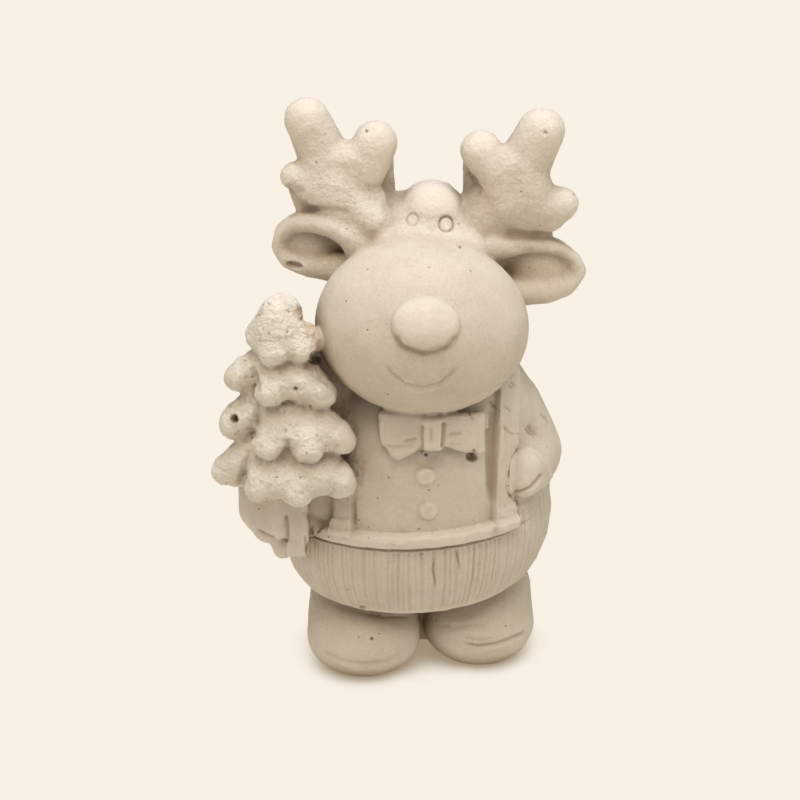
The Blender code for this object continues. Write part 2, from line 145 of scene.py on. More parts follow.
def hull(*balls):
    """The skin stretched round several (centre, radii) balls."""
    shape = bmesh.new()
    for centre, radii in balls:
        radii = radii if hasattr(radii, "__len__") else (radii, radii, radii)
        place = Matrix.Translation(Vector(centre)) @ Matrix.Diagonal((*radii, 1))
        bmesh.ops.create_icosphere(shape, subdivisions=4, radius=1, matrix=place)
    made = bmesh.ops.convex_hull(shape, input=shape.verts)
    left_over = made["geom_interior"] + made["geom_unused"]
    inside = {item for item in left_over if isinstance(item, bmesh.types.BMVert)}
    bmesh.ops.delete(shape, geom=list(inside), context="VERTS")
    return shape


def limb(*balls):
    """A rounded limb that runs through (centre, radii) balls in turn."""
    return [hull(first, second) for first, second in zip(balls, balls[1:])]


def turned(profile, depth, centre_x, slope):
    """A profile of (radius, height) turned about Z, oval in plan, and sheared to rise with X."""
    shape = bmesh.new()
    points = [shape.verts.new((radius, 0, height)) for radius, height in profile]
    edges = [shape.edges.new(pair) for pair in zip(points, points[1:])]
    bmesh.ops.spin(shape, geom=points + edges, axis=(0, 0, 1), cent=(0, 0, 0), angle=math.tau, steps=120)
    bmesh.ops.remove_doubles(shape, verts=shape.verts, dist=1e-4)
    bmesh.ops.recalc_face_normals(shape, faces=shape.faces)
    shear = Matrix(((1, 0, 0, centre_x), (0, depth, 0, 0), (slope, 0, 1, 0), (0, 0, 0, 1)))
    bmesh.ops.transform(shape, matrix=shear, verts=shape.verts)
    return shape


def evaluated_mesh(source):
    graph = bpy.context.evaluated_depsgraph_get()
    return bpy.data.meshes.new_from_object(source.evaluated_get(graph))


def joined_mesh(shapes):
    """One mesh that holds every bmesh or mesh in the list."""
    whole = bmesh.new()
    for shape in shapes:
        if isinstance(shape, bmesh.types.BMesh):
            mesh = bpy.data.meshes.new("shape")
            shape.to_mesh(mesh)
        else:
            mesh = shape
        whole.from_mesh(mesh)
    mesh = bpy.data.meshes.new("masses")
    whole.to_mesh(mesh)
    return mesh


def fused(shapes, soften):
    """The shapes melted into one skin, with creases rounded to about the given radius."""
    lump = bpy.data.objects.new("lump", joined_mesh(shapes))
    bpy.context.scene.collection.objects.link(lump)
    remesh = lump.modifiers.new("fuse", "REMESH")
    remesh.mode = "VOXEL"
    remesh.voxel_size = VOXEL
    smooth = lump.modifiers.new("soften", "SMOOTH")
    smooth.factor = 0.5
    smooth.iterations = max(1, round(4 * (soften / VOXEL) ** 2))
    mesh = evaluated_mesh(lump)
    bpy.data.objects.remove(lump)
    return mesh


def head_masses():
    skull = ball((1.0, 3.0, 102.0), (19.5, 15.0, 16.5))
    crown = ball((2.9, 1.5, 111.6), (9.0, 9.0, 10.0))
    brow = ball((1.5, -5.5, 106.3), (15.0, 12.0, 8.6))
    jaw = ball((1.0, 1.0, 90.0), (18.5, 15.0, 16.0))
    return [skull, crown, brow, jaw, *antler_masses(), *ear_masses()]


def antler_masses():
    """Two broad antlers, each with three blunt tines and a thin web that joins it to the head."""
    left = [ball((-18.5, 2.5, 120.5), (10.0, 6.0, 8.5), (0, 20, 0))]
    left += limb(((-9.0, 3.0, 110.5), 6.8), ((-18.5, 2.5, 119.5), 7.0))
    left += limb(((-21.0, 2.6, 124.0), 6.2), ((-26.4, 2.5, 136.7), 5.4))
    left += limb(((-18.0, 1.5, 120.0), 6.6), ((-12.6, 0.2, 125.2), 5.0), ((-10.4, 1.6, 131.3), 5.3))
    left += limb(((-20.5, 1.5, 119.8), 6.2), ((-29.3, -0.5, 123.7), 3.5))
    left.append(hull(((-23.6, 1.0, 127.2), 4.8), ((-14.0, 0.4, 127.2), 4.8), ((-18.0, 0.2, 120.0), 5.4),
                     ((-24.4, 0.4, 122.0), 4.8)))
    left.append(hull(((-29.3, -0.5, 123.7), 3.2), ((-20.0, -2.2, 118.6), 4.2), ((-11.4, -3.8, 113.4), 4.4),
                     ((-12.0, -1.0, 117.6), 4.4), ((-19.0, -1.2, 122.8), 4.6)))
    left += limb(((-9.4, 6.6, 129.0), 3.0), ((-8.4, 6.4, 119.0), 2.8))
    left.append(hull(((-29.2, 2.2, 119.4), 2.1), ((-26.4, 2.4, 113.4), 2.6), ((-14.0, 1.4, 116.0), 4.8),
                     ((-12.0, 1.6, 107.0), 4.8)))
    right = [ball((22.3, 2.5, 118.5), (9.4, 6.0, 9.5), (0, -15, 0))]
    right += limb(((11.0, 3.0, 108.0), 7.0), ((21.0, 2.5, 117.5), 7.4))
    right += limb(((22.0, 2.8, 120.0), 7.0), ((28.6, 2.5, 133.8), 5.6))
    right += limb(((20.8, 1.5, 119.0), 6.8), ((18.2, 0.4, 124.5), 4.9), ((14.4, 1.8, 129.2), 5.0))
    right.append(hull(((22.0, 1.5, 115.5), 6.2), ((33.7, -0.6, 116.8), 4.0), ((30.4, 0.2, 113.4), 4.0)))
    right.append(hull(((24.6, 1.0, 126.4), 5.0), ((18.4, 0.6, 126.0), 4.6), ((20.8, 0.2, 117.5), 5.8),
                      ((27.0, 0.2, 119.0), 5.0)))
    right += limb(((13.2, 6.4, 127.5), 2.9), ((12.9, 6.4, 114.0), 2.7))
    right.append(hull(((28.0, 2.4, 111.5), 3.2), ((28.9, 2.4, 108.0), 3.0), ((15.0, 1.6, 112.0), 4.8),
                      ((14.0, 1.6, 103.0), 4.8)))
    return left + right


def ear_masses():
    """Two ears that point sideways, each with a thick rim round a pocket that is open at the front."""
    left = [ball((-25.0, 3.0, 106.3), (10.0, 5.0, 6.4), (0, 9, 0))]
    left.append(ball((-19.0, 3.0, 101.5), (5.5, 4.5, 4.6)))
    left += limb(((-33.4, 0.4, 105.4), 2.0), ((-32.6, -0.2, 109.2), 2.1), ((-29.8, -1.0, 112.0), 2.4),
                 ((-25.2, -2.4, 113.2), 2.7), ((-20.4, -4.4, 112.8), 3.0), ((-16.6, -5.8, 111.0), 3.4),
                 ((-13.6, -6.0, 107.8), 4.0))
    left += limb(((-33.4, 0.4, 105.4), 2.0), ((-30.9, -0.6, 102.6), 2.5), ((-26.2, -1.8, 101.8), 3.0),
                 ((-20.7, -3.0, 101.6), 3.6), ((-15.0, -5.0, 102.0), 4.0))
    right = [ball((29.0, 3.2, 99.8), (11.0, 5.4, 7.4), (0, 17, 0))]
    right.append(ball((23.0, 3.0, 95.5), (5.5, 4.5, 4.6)))
    right += limb(((17.0, -3.6, 106.8), 3.6), ((24.4, -1.8, 107.0), 2.2), ((29.7, -1.4, 106.6), 1.9),
                  ((33.8, -0.8, 105.2), 1.7), ((36.8, -0.2, 102.8), 1.7), ((38.0, 0.4, 99.2), 2.1))
    right += limb(((20.0, -3.6, 95.6), 3.8), ((25.0, -2.4, 95.1), 3.3), ((30.4, -1.8, 95.1), 3.1),
                  ((34.8, -1.0, 96.3), 2.9), ((38.0, 0.4, 99.2), 2.1))
    return left + right


def body_masses():
    shapes = [turned(BELLY_PROFILE, BELLY_DEPTH, BELLY_X, TROUSER_SLOPE)]
    shapes += limb(((20.3, 1.0, 62.6), 10.0), ((24.8, -2.0, 53.2), 10.1), ((25.2, -13.0, 54.4), 6.6))
    shapes += limb(((-20.3, 1.0, 62.6), 10.0), ((-30.0, -5.0, 52.0), 9.5), ((-36.5, -14.0, 46.5), 7.2))
    fist = hull(((25.4, -16.0, 56.2), (5.0, 4.6, 4.8)), ((24.6, -18.0, 52.6), (4.6, 3.6, 4.0)),
                ((28.6, -14.0, 52.4), (3.6, 3.2, 3.4)))
    return [*shapes, fist, *boot_masses(), *web_masses()]


def boot_masses():
    """Two round-toed boots that lean together, the one on the tree's side a step ahead."""
    shapes = []
    for x, toe_y, radius in ((-13.6, -11.5, 14.1), (14.9, -5.6, 13.9)):
        toe = ((x, toe_y, 7.5), (radius, 13.0, 10.0))
        ankle = ((x, 1.0, 13.0), (radius - 0.6, 13.0, 13.0))
        heel = ((x, 6.0, 7.5), (radius - 1.5, 11.0, 10.0))
        shapes.append(hull(toe, ankle, heel))
    shapes += limb(((-10.0, 6.0, 5.0), 9.0), ((10.0, 6.0, 5.0), 9.0))
    shapes.append(hull(((5.5, 2.0, 4.6), 6.5), ((12.0, -4.0, 5.5), 8.0)))
    shapes += limb(((-8.0, 2.0, 14.0), 9.0), ((8.0, 2.0, 14.0), 9.0))
    return shapes


def web_masses():
    """The thick wall of plaster between the tree and the muzzle, the arm and the belly."""
    upper = hull(((-28.0, -15.0, 85.0), 4.5), ((-18.0, -9.0, 84.0), 5.0), ((-19.0, -10.0, 72.0), 6.0),
                 ((-30.0, -15.0, 72.0), 6.0))
    lower = hull(((-19.0, -10.0, 72.0), 6.0), ((-30.0, -15.0, 72.0), 6.0), ((-17.0, -13.0, 55.0), 8.0),
                 ((-33.0, -15.0, 50.0), 7.0), ((-22.0, -15.5, 47.0), 7.0), ((-30.0, -18.0, 45.0), 5.0))
    return [upper, lower]


def hand_masses():
    """The hand whose fingers lie along the tree's trunk."""
    palm = hull(((-39.6, -17.0, 50.0), 4.0), ((-39.2, -17.5, 44.4), 4.2), ((-33.6, -22.9, 50.5), 3.2),
                ((-33.4, -23.1, 43.0), 3.0), ((-36.6, -19.5, 40.6), 3.2))
    return [palm, *limb(((-33.6, -20.5, 40.0), 3.0), ((-32.8, -20.8, 35.8), 2.4))]


def petals(apex, *tips):
    """Drooping branches that spread from one (centre, radius) ball to a ball at each tip."""
    return [hull(apex, tip) for tip in tips]


def tree_masses():
    """Four tiers of drooping, snow-laden branches round a short square trunk."""
    shapes = limb(((-32.5, -21.5, 96.0), 4.0), ((-31.5, -20.0, 58.0), (10.0, 6.5, 6.0)))
    corners = itertools.product((-30.8, -27.6), (-25.0, -18.0), (37.0, 56.0))
    shapes.append(hull(*((corner, 1.1) for corner in corners)))
    shapes.append(hull(((-33.2, -22.5, 98.2), (3.8, 4.2, 4.2)), ((-36.6, -22.3, 92.6), 4.0),
                       ((-34.4, -25.4, 91.4), 3.8), ((-28.2, -24.4, 91.6), 4.0)))
    shapes += petals(((-32.0, -24.0, 95.0), 4.0), ((-34.0, -26.2, 90.4), 3.8), ((-27.8, -25.0, 90.9), 3.9),
                     ((-25.2, -22.0, 91.4), 3.2))
    shapes += petals(((-36.0, -22.0, 85.5), 4.4), ((-42.3, -22.0, 81.8), 3.5))
    shapes.append(hull(((-32.0, -21.5, 86.5), 4.4), ((-34.8, -26.6, 81.8), 3.8),
                       ((-28.6, -25.6, 82.4), 4.0)))
    shapes += petals(((-31.6, -23.5, 84.5), 4.2), ((-34.8, -27.4, 80.9), 3.9))
    shapes.append(hull(((-31.0, -21.5, 86.5), 4.4), ((-28.4, -26.0, 82.0), 4.2),
                       ((-23.1, -24.8, 78.8), 3.8)))
    shapes += petals(((-36.0, -22.5, 75.0), 5.4), ((-43.4, -22.3, 70.4), 4.2))
    shapes.append(hull(((-31.8, -21.5, 76.0), 4.8), ((-35.2, -27.8, 69.0), 4.2), ((-26.6, -28.8, 69.4), 4.2),
                       ((-19.2, -26.4, 68.8), 3.8)))
    shapes += petals(((-31.0, -24.5, 72.5), 4.4), ((-35.2, -29.0, 67.7), 3.9), ((-26.2, -30.0, 67.9), 4.0),
                     ((-18.6, -26.6, 67.7), 3.8))
    shapes += petals(((-37.0, -23.0, 63.5), 6.0), ((-45.4, -22.3, 57.8), 4.1))
    shapes.append(hull(((-31.8, -22.0, 66.0), 5.6), ((-37.2, -28.9, 58.6), 4.3), ((-28.9, -30.4, 58.6), 4.3),
                       ((-19.2, -28.0, 58.8), 4.1)))
    shapes += petals(((-30.5, -25.0, 62.5), 5.0), ((-37.7, -29.8, 57.2), 4.0), ((-28.7, -31.4, 56.9), 4.2),
                     ((-18.7, -28.6, 57.8), 4.0))
    return shapes + tree_back_masses()


def tree_back_masses():
    """The branches on the hidden side of the tree, plainer than those at the front."""
    shapes = []
    for height, reach, radius in ((92.0, 3.0, 4.2), (81.0, 7.0, 4.2), (70.0, 9.0, 4.4), (58.5, 11.0, 4.4)):
        for angle in (78, 124, 170):
            turn = math.radians(angle)
            tip = (-32.0 - reach * math.sin(turn), -19.0 - reach * math.cos(turn), height - 1.0)
            shapes.append(hull(((-31.8, -20.5, height + 6.0), radius), (tip, radius)))
    return shapes


def bow_tie():
    left = hull(((-8.4, -23.4, 72.5), 1.5), ((-7.4, -25.6, 66.8), 1.5), ((-5.0, -26.8, 64.2), 1.4),
                ((0.6, -27.6, 67.8), 1.3), ((0.6, -26.0, 72.6), 1.3))
    right = hull(((5.4, -26.0, 72.6), 1.3), ((5.4, -27.6, 68.0), 1.3), ((10.6, -26.4, 65.8), 1.4),
                 ((14.2, -24.6, 64.9), 1.4), ((14.2, -23.0, 72.0), 1.5))
    knot = hull(((1.9, -28.0, 67.5), 1.9), ((4.3, -28.0, 67.5), 1.9), ((1.9, -26.6, 72.0), 1.9),
                ((4.3, -26.6, 72.0), 1.9))
    return [left, right, knot]


def whole_figure():
    """The fused figure, before its surface is carved."""
    head = fused(head_masses(), 1.2)
    body = fused(body_masses(), 0.8)
    tree = fused(tree_masses(), 0.75)
    roughen(tree, 0.4, 6.0, 11)
    muzzle = ball(MUZZLE_CENTRE, MUZZLE_RADII, MUZZLE_TURN)
    nose = ball((1.3, -34.0, 100.5), (7.9, 3.7, 6.5), (-33, 3, 0))
    return fused([head, body, tree, muzzle, nose, *hand_masses(), *bow_tie()], 0.45)


def vectors(collection, attribute):
    """The named attribute of every item, as rows of three numbers."""
    values = np.empty(len(collection) * 3, np.float32)
    collection.foreach_get(attribute, values)
    return values.reshape(-1, 3).astype(float)


def move_points(mesh, points):
    mesh.vertices.foreach_set("co", points.astype(np.float32).ravel())
    mesh.update()


def lumps(points, size, seed):
    """Smooth noise from about -1 to 1, in lumps of the given size, from slopes at the corners of a grid."""
    slopes = np.random.default_rng(seed).normal(size=(256, 3))
    slopes /= np.linalg.norm(slopes, axis=1)[:, None]
    cells = points / size
    corner = np.floor(cells).astype(np.int64)
    inside = cells - corner
    fade = inside ** 3 * (inside * (inside * 6 - 15) + 10)
    total = np.zeros(len(points))
    for offset in np.ndindex(2, 2, 2):
        key = (corner + offset) @ (1619, 31337, 6971)
        slope = slopes[(key ^ key >> 9) * 60493 >> 5 & 255]
        share = np.where(offset, fade, 1 - fade).prod(axis=1)
        total += share * (slope * (inside - offset)).sum(axis=1)
    return 1.6 * total


def rough(points, size, seed):
    """Noise in lumps of the given size, with finer lumps on them."""
    return (lumps(points, size, seed) + 0.5 * lumps(points, size / 2, seed + 1)
            + 0.25 * lumps(points, size / 4, seed + 2))


def roughen(mesh, height, size, seed):
    points = vectors(mesh.vertices, "co")
    normals = vectors(mesh.vertex_normals, "vector")
    move_points(mesh, points + normals * (height * rough(points, size, seed))[:, None])


def step(value, low, high):
    """0 below low, 1 above high, smooth between."""
    share = np.clip((value - low) / (high - low), 0, 1)
    return share * share * (3 - 2 * share)


def band(value, low, high, edge):
    """1 between low and high, falling to 0 over the edge's width on both sides."""
    return step(value, low - edge / 2, low + edge / 2) * (1 - step(value, high - edge / 2, high + edge / 2))


class Skin:
    """The figure's points, and where the photograph shows each of them."""

    CELL = 3.0  # pixels, the grain in which nearer points hide those behind them
    HIDDEN = 3.0  # millimetres behind the nearest point

    def __init__(self, mesh):
        self.points = vectors(mesh.vertices, "co")
        self.normals = vectors(mesh.vertex_normals, "vector")
        self.x, self.y, self.z = self.points.T
        look = np.array((0.0, math.cos(VIEW_TILT), -math.sin(VIEW_TILT)))
        up = np.array((0.0, math.sin(VIEW_TILT), math.cos(VIEW_TILT)))
        away = self.points - CAMERA_TARGET + CAMERA_DISTANCE * look
        depth = away @ look
        middle = FRAME_PIXELS / 2
        self.across = middle + FOCAL_PIXELS * away[:, 0] / depth
        self.down = middle - FOCAL_PIXELS * (away @ up) / depth
        self.pixel = depth / FOCAL_PIXELS
        self.shown = self.nearest(depth) & (self.normals @ look < 0.1)

    def nearest(self, depth):
        cells = int(FRAME_PIXELS / self.CELL) + 2
        column = np.clip((self.across / self.CELL).astype(int), 1, cells - 2)
        row = np.clip((self.down / self.CELL).astype(int), 1, cells - 2)
        front = np.full((cells, cells), np.inf)
        np.minimum.at(front, (row, column), depth)
        around = [front[row + i, column + j] for i in (-1, 0, 1) for j in (-1, 0, 1)]
        return depth < np.minimum(front[row, column], np.median(around, axis=0)) + self.HIDDEN

    def near(self, pixels, margin):
        """The shown points within a margin of some pixels, as indices."""
        low, high = np.min(pixels, axis=0) - margin, np.max(pixels, axis=0) + margin
        beside = (self.across > low[0]) & (self.across < high[0])
        level_with = (self.down > low[1]) & (self.down < high[1])
        return np.flatnonzero(self.shown & beside & level_with)


def stroke(skin, path, width, raised, taper=0.25):
    """A ridge, or below 0 a groove, along a path of the photograph's pixels. It fades at both ends."""
    height = np.zeros(len(skin.points))
    index = skin.near(path, 3 * width / 0.24 + 2)
    places = np.column_stack((skin.across[index], skin.down[index]))
    corners = np.array(path, float)
    lengths = np.linalg.norm(np.diff(corners, axis=0), axis=1)
    nearest = np.full(len(index), np.inf)
    along = np.zeros(len(index))
    for number, (start, end) in enumerate(zip(corners, corners[1:])):
        share = np.clip((places - start) @ (end - start) / lengths[number] ** 2, 0, 1)
        apart = np.linalg.norm(places - start - share[:, None] * (end - start), axis=1)
        closer = apart < nearest
        nearest = np.where(closer, apart, nearest)
        along = np.where(closer, (lengths[:number].sum() + share * lengths[number]) / lengths.sum(), along)
    ends = step(np.minimum(along, 1 - along), -0.01, taper) if taper else 1.0
    height[index] = raised * ends * np.exp(-(nearest * skin.pixel[index] / (width / 2)) ** 2)
    return height


def spot(skin, pixel, radii, raised, turn=0, edge=0.5):
    """A round or oval bump, or below 0 a pit, centred on a pixel. The edge is the share that slopes."""
    height = np.zeros(len(skin.points))
    radii = radii if hasattr(radii, "__len__") else (radii, radii)
    index = skin.near([pixel], max(radii) / 0.24 + 2)
    across = (skin.across[index] - pixel[0]) * skin.pixel[index]
    down = (skin.down[index] - pixel[1]) * skin.pixel[index]
    cosine, sine = math.cos(math.radians(turn)), math.sin(math.radians(turn))
    apart = np.hypot((across * cosine + down * sine) / radii[0], (down * cosine - across * sine) / radii[1])
    height[index] = raised * (1 - step(apart, 1 - edge, 1))
    return height


def level(skin):
    """Heights measured along the sloping belt and hem."""
    return skin.z - TROUSER_SLOPE * (skin.x - BELLY_X)


def on_belly(skin):
    """1 for points that lie on the turned form, 0 for those on anything else."""
    radii, heights = np.array(BELLY_PROFILE).T
    expected = np.interp(level(skin), heights, radii)
    radius = np.hypot(skin.x - BELLY_X, skin.y / BELLY_DEPTH)
    return 1 - step(np.abs(radius - expected), 1.6, 2.4)


def belt(skin):
    """A waistband with a sloping upper edge that stands out from the shirt, over a narrow groove."""
    height = level(skin)
    ledge = 1 - np.clip((height - BELT_HIGH) / BELT_BEVEL, 0, 1)
    leaning = 1 + 0.3 * np.clip((height - BELT_LOW) / (BELT_HIGH - BELT_LOW), 0, 1)
    out = BELT_OUT * leaning * step(height, BELT_LOW - 0.3, BELT_LOW + 0.2) * ledge
    groove = -BELT_GROOVE * band(height, BELT_LOW - 0.85, BELT_LOW - 0.15, 0.5)
    rim = BELT_RIM * band(height, BELT_LOW - 1.6, BELT_LOW - 0.8, 0.5)
    front = 1 - step(skin.x, *BELT_END) * (skin.y < 4)
    return on_belly(skin) * (front * (out + rim) + groove * (1 - step(skin.x, 25.0, 28.0)))


def ribs(skin):
    """The trousers' upright ribs, a little uneven, with two deeper cracks at the front."""
    angle = np.arctan2(skin.x - BELLY_X, -skin.y / BELLY_DEPTH)
    wander = np.column_stack((angle * 6, skin.z / 25, np.zeros(len(angle))))
    place = angle / RIB_PITCH + 0.22 * lumps(wander, 1.0, 21)
    number = np.round(place).astype(int)
    uneven = np.random.default_rng(22).uniform(0.45, 1.0, 128)[number % 128]
    apart = np.abs(place - number) * RIB_PITCH * RIB_RADIUS
    groove = -RIB_GROOVE * uneven * np.exp(-(apart / RIB_GROOVE_WIDTH) ** 2)
    crown = RIB_CROWN * np.cos(math.tau * (place - number))
    streaks = np.column_stack((angle * 40, skin.z / 14, np.zeros(len(angle))))
    fine = RIB_STREAKS * lumps(streaks, 1.0, 23)
    above = RIB_RISE * step(skin.x, 23.5, 26.0)
    over_hem = step(level(skin), HEM + 0.3, HEM + 1.7)
    under_belt = 1 - step(level(skin) - above, BELT_LOW - 1.8, BELT_LOW - 0.6)
    return on_belly(skin) * over_hem * under_belt * (groove + crown + fine) + strokes(skin, RIB_CRACKS)


def braces(skin):
    """Two straps up the front, crossed at the back, with a clip at the waistband."""
    x, y, z = skin.x, skin.y, skin.z
    left = np.abs(x - LEFT_BRACE_X) + 9 * step(z, 56, 60)  # it ends where the tree hides it
    right = np.abs(x - np.interp(z, RIGHT_BRACE_Z, RIGHT_BRACE_X))
    apart = np.minimum(left, right)
    crossed = np.minimum(np.abs(x - (z - BRACE_CROSSING)), np.abs(x + (z - BRACE_CROSSING)))
    apart = np.where(y < 0, apart, crossed)
    strap = 1 - step(apart, BRACE_HALF_WIDTH - 0.35, BRACE_HALF_WIDTH + 0.35)
    edge = -BRACE_EDGE * band(apart, BRACE_HALF_WIDTH - 0.9, BRACE_HALF_WIDTH - 0.6, 0.4) * (z < 60)
    clip = BRACE_CLIP * band(level(skin), BELT_HIGH + 0.6, BELT_HIGH + 3.6, 0.8)
    return strap * (BRACE_OUT + edge + clip) * band(z, BELT_HIGH - 1, BRACE_TOP, 1.5) * on_belly(skin)


def buttons(skin):
    raised = np.zeros(len(skin.points))
    for x, z in BUTTONS:
        apart = np.hypot(skin.x - x, skin.z - z)
        dome = BUTTON_OUT * (1 - step(apart, BUTTON_RADIUS - 0.5, BUTTON_RADIUS + 0.2))
        raised += dome * (skin.y < -15)
    return raised * on_belly(skin)


# Marks lie on whatever shows at a pixel of the photograph. A stroke has a path of pixels, a width and a
# height in millimetres, and perhaps the share of it that fades at each end. A spot has a pixel, one or two
# radii and a height, and perhaps a turn in degrees and the share of it that slopes. Left and right are the
# photograph's.
EYES = {"left": ((412.3, 219.3), 1.3, 0.38), "right": ((446.6, 224.0), 1.65, 0.65)}  # pixel, radius, depth
EYE_DISC, EYE_DISC_EDGE, EYE_RING = 0.1, 0.6, 0.28

FACE_STROKES = {
    "smile": (((385, 362), (391, 373), (405, 384), (422, 388), (440, 384), (452, 374), (458, 366)),
              0.9, -0.36, 0.1),
    "lip": (((398, 385), (412, 391), (430, 391), (444, 386)), 1.6, 0.2),
    "under_nose": (((392, 332), (402, 346), (424, 353), (446, 347), (460, 333)), 1.3, -0.5, 0.1),
}
FACE_SPOTS = {"brow_pore": ((460.5, 247), 0.45, -0.6)}

BOW_STROKES = {
    "left_upper_fold": (((401, 441.5), (410, 440), (419, 438)), 0.9, -0.4),
    "left_lower_fold": (((381, 446), (396, 447), (410, 446), (420, 443)), 1.4, -0.35),
    "left_pleat": (((384, 452), (392, 454), (405, 452), (420, 448)), 2.0, 0.3),
    "right_upper_fold": (((447, 435), (455, 433.5), (463, 433)), 0.9, -0.4),
    "right_lower_fold": (((448, 444), (455, 444.5), (462, 445)), 0.7, -0.3),
    "knot_left": (((421.5, 425), (421.5, 440), (422, 452)), 0.8, -0.55, 0.05),
    "knot_right": (((444.5, 422), (444, 436), (443, 449)), 0.9, -0.9, 0.05),
    "knot_middle": (((431, 427), (431, 444)), 1.0, -0.3),
    "left_end": (((380.5, 419), (381.5, 433), (383, 447)), 0.9, 0.35),
    "right_end": (((483, 418), (482, 440), (479, 460)), 1.4, 0.3),
}
BOW_SPOTS = {
    "chip": ((472, 457), (1.6, 1.3), -1.6, 20),
    "chip_top": ((474, 453), (0.6, 1.0), -1.0),
    "pore_under_knot": ((426, 454.5), 0.45, -0.8),
    "pore_on_knot": ((443, 446), 0.4, -0.6),
}

BOOT_STROKES = {
    "left_sole": (((318, 645), (326, 652), (342, 660), (364, 663.5), (386, 661), (398, 655), (404, 650)),
                  1.2, -0.3, 0.15),
    "left_sole_edge": (((330, 658), (350, 668), (366, 670), (388, 667), (400, 660)), 1.2, 0.25),
    "left_instep": (((360, 612), (384, 616), (414, 615)), 1.0, -0.35),
    "right_sole": (((462, 642), (479, 646), (497, 643.5), (514, 637), (530, 630)), 0.9, -0.5, 0.15),
    "right_sole_scratch": (((464, 636), (478, 640), (494, 638)), 0.9, -0.3),
    "right_sole_edge": (((466, 647), (480, 650), (498, 647.5), (516, 641)), 1.2, 0.25),
    "right_instep": (((430, 622), (452, 627), (476, 625), (494, 620)), 1.4, -0.2),
}
BOOT_SPOTS = {"hem_chip": ((362.2, 607.5), (0.9, 0.5), -0.7), "left_pore": ((371.8, 638.2), 0.5, -0.6)}

HAND_STROKES = {
    "right_fingers": (((509, 492.5), (521, 491.8), (531, 487.6), (537.5, 481), (543.5, 473)),
                      0.9, -0.6, 0.1),
    "right_finger_edge": (((514, 496.5), (526, 494.5), (536, 489), (545, 478)), 1.6, 0.25),
    "right_cuff": (((529, 449.5), (536, 453.5), (542, 460), (546.5, 468.5), (550.5, 480)), 0.7, -0.22, 0.1),
    "left_fingers": (((254, 527.5), (265, 534.5), (277, 540)), 0.8, -0.6),
    "left_finger_edge": (((252, 531), (262, 538), (275, 544)), 1.4, 0.25),
    "trunk_left": (((285.5, 514), (287, 527), (287, 543)), 0.9, -0.5, 0.1),
    "trunk_right": (((304, 533), (307, 545), (308.5, 558)), 1.0, -0.5),
    "under_branches": (((299, 510), (313, 518), (330, 526)), 2.0, -0.4),
}
HAND_SPOTS = {"under_fist": ((515, 503), (1.1, 1.0), -0.6)}

SHIRT_STROKES = {
    "brace_valley": (((493, 398), (491, 430), (491, 470), (492, 512)), 2.2, -0.9, 0.3),
    "brace_edge": (((499, 398), (498, 440), (497.5, 500)), 1.2, 0.3),
    "left_brace_edge": (((353.5, 497), (354, 512), (354, 527)), 0.9, -0.45),
    "clip_edge": (((514, 500), (514, 512), (514, 524)), 0.8, -0.6),
}
SHIRT_SPOTS = {
    "left_clip": ((341, 532.5), (1.6, 1.4), 0.45),
    "right_clip": ((503, 513.5), (2.0, 0.9), 0.35),
    "right_clip_stud": ((492, 523), (0.9, 0.7), 0.3),
    "belt_stud": ((400.5, 541), (1.9, 0.8), 0.4),
    "sleeve_dent": ((532, 428), (4.4, 2.4), -0.25, 20, 0.9),
}
SCRATCH_WIDTH, SCRATCH_DEPTH = 0.6, 0.38
BRACE_SCRATCHES = (
    ((499, 405), (504, 409), (508, 414)), ((499, 426), (505, 432), (512, 435)), ((496, 420), (503, 429)),
    ((502, 383), (508, 390)), ((505, 381), (511, 388)), ((490, 400), (496, 408)),
)
SLEEVE_SCRATCHES = (
    ((519, 385), (518, 393)), ((528, 425), (533, 430), (538, 434)), ((526, 428), (531, 433), (536, 436)),
    ((541, 413), (546, 419)), ((545, 415), (550, 424)),
)
BOW_SCRATCHES = (((466, 405), (470, 414), (474, 422)), ((471, 404), (476, 413)), ((478, 402), (480, 411)))

HEAD_STROKES = {
    "left_ear_groove": (((298, 211), (318, 209), (338, 210.5), (354, 216)), 1.5, -0.6, 0.2),
    "left_antler_groove": (((284, 186), (293, 190), (305, 193)), 1.8, -0.8, 0.2),
    "right_ear_groove": (((501, 236), (525, 236), (554, 236)), 2.0, -0.3, 0.2),
    "right_antler_groove": (((466, 172), (475, 181), (479, 189), (476, 198)), 1.2, -0.5, 0.2),
}
HEAD_SPOTS = {
    "left_ear_chip": ((294, 265.5), (2.3, 1.0), -1.3, 12, 0.4),
    "left_tine_dent": ((301, 121), (1.7, 2.6), -0.3, 20, 0.9),
    "left_tine_pore": ((366, 131), 0.5, -0.7),
    "right_tine_pore": ((546, 133), 0.6, -0.4),
    "right_tine_tip_pore": ((575.5, 194.5), 0.5, -0.5),
}

TREE_STROKES = {
    "fourth_tier_cleft": (((248, 448), (244, 466), (239, 486)), 1.6, -0.9, 0.1),
    "third_tier_cleft": (((258, 400), (256, 418), (252, 440)), 1.4, -0.7, 0.1),
    "second_tier_cleft": (((252, 366), (255, 378), (257, 394)), 1.4, -0.7, 0.1),
    "third_tier_notch": (((286, 438), (287, 446), (286, 456)), 2.0, -0.9, 0.2),
}
TREE_SPOTS = {
    "hole_in_lobe": ((233.5, 419), (1.0, 1.25), -2.4, 0, 0.3),
    "second_tier_pit": ((295, 389.5), 0.6, -0.9),
    "gap_by_muzzle": ((315, 358), (1.6, 1.8), -2.0, 0, 0.6),
}
TREE_PORE_RADIUS, TREE_PORE_DEPTH = 0.4, 0.4
TREE_PORES = (
    (268, 334), (259, 341), (268.5, 304.5), (289.7, 311.4), (258, 315.5), (302, 319), (287, 332.6),
    (309.8, 407), (283, 403), (276, 404), (251.5, 378), (317, 436.5), (285, 431), (207.5, 473),
)

